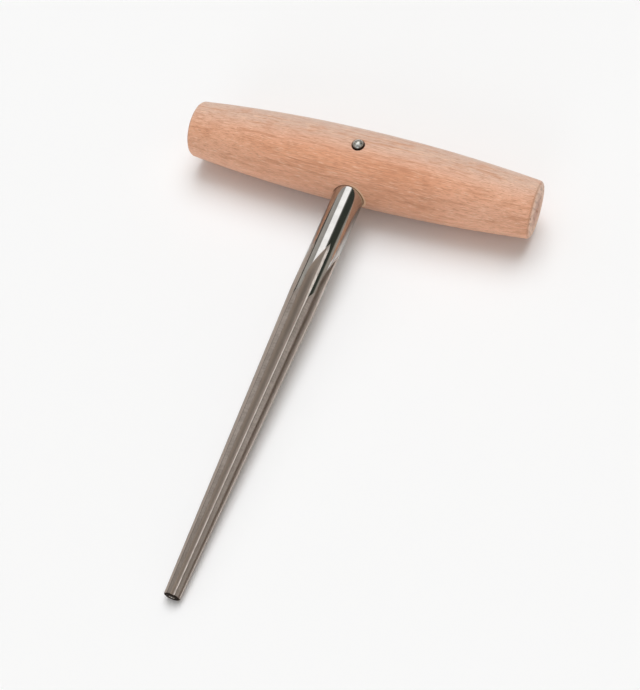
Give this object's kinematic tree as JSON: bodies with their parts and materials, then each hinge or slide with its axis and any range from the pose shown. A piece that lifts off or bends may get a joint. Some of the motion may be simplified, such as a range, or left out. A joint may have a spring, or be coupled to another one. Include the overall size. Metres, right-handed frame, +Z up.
{
  "type": "taper reamer",
  "caption": "Hand taper reamer: a barrel-shaped wooden T-handle, cross-pinned to a tapered steel reamer with straight flutes, for tapering and enlarging holes.",
  "frame": {"origin": "bottom centre of the whole tool, on the bench that the handle and the tip lie on", "axes": "+X along the handle, -Y towards the reamer's tip, +Z up from the bench, with the pin's axis tilted 3.7 degrees from +Z"},
  "size_m": [0.1016, 0.143, 0.0225],
  "materials": {
    "turned_wood": "bare turned hardwood, sanded smooth, with fine short flecks",
    "ground_steel": "polished shank, finely ground cutting length",
    "pin_steel": "bright steel with a domed end that stands just proud of the handle"
  },
  "bodies": {
    "root": {"handle": "turned_wood", "reamer": "ground_steel", "cross_pin": "pin_steel"}
  },
  "joints": []
}
